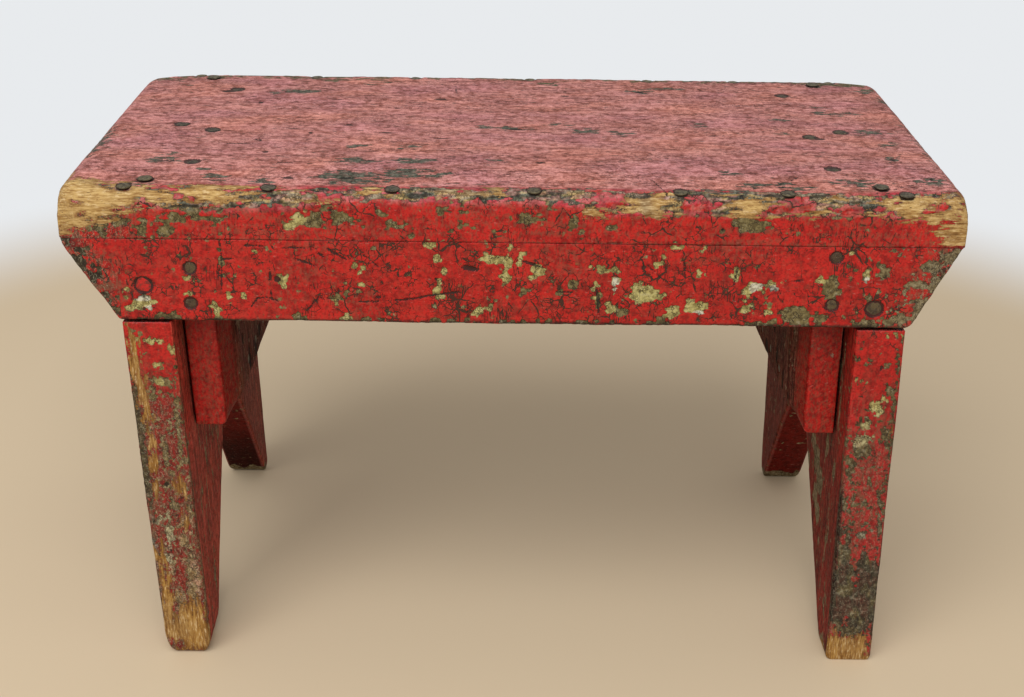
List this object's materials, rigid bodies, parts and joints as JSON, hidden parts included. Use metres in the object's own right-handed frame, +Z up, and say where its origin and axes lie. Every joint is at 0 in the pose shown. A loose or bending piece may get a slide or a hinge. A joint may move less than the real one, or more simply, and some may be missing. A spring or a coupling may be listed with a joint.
{
  "type": "milking stool",
  "caption": "Low rectangular nailed-board stool: thick seat with worn round edges, sloping-ended aprons, and end boards sawn into feet, braced by cleats.",
  "frame": {"origin": "middle of the stool on the floor, centre of the bounding box's bottom face", "axes": "+X along the length of the seat, to the right as seen from the front; +Y from the front to the rear; +Z up"},
  "size_m": [0.401, 0.192, 0.248],
  "materials": {
    "seat_paint": "chalky faded red paint over wood, worn through at the edges",
    "apron_paint": "bright red paint, cracked and flaking to an old green coat",
    "leg_paint": "red paint, worn and dirty, bare wood at the feet",
    "cleat_paint": "red paint with little wear",
    "dark_nail": "dark tarnished nail heads",
    "rusty_nail": "rusty nail heads, partly painted over"
  },
  "bodies": {
    "root": {"seat_board": "seat_paint", "front_apron": "apron_paint", "rear_apron": "apron_paint", "left_leg": "leg_paint", "right_leg": "leg_paint", "left_cleat": "cleat_paint", "right_cleat": "cleat_paint", "front_edge_nails": "dark_nail", "rear_edge_nails": "dark_nail", "seat_leg_nails": "dark_nail", "seat_cleat_nails": "dark_nail", "apron_leg_nails": "rusty_nail", "apron_cleat_nails": "rusty_nail", "cleat_leg_nails": "dark_nail"}
  },
  "joints": []
}
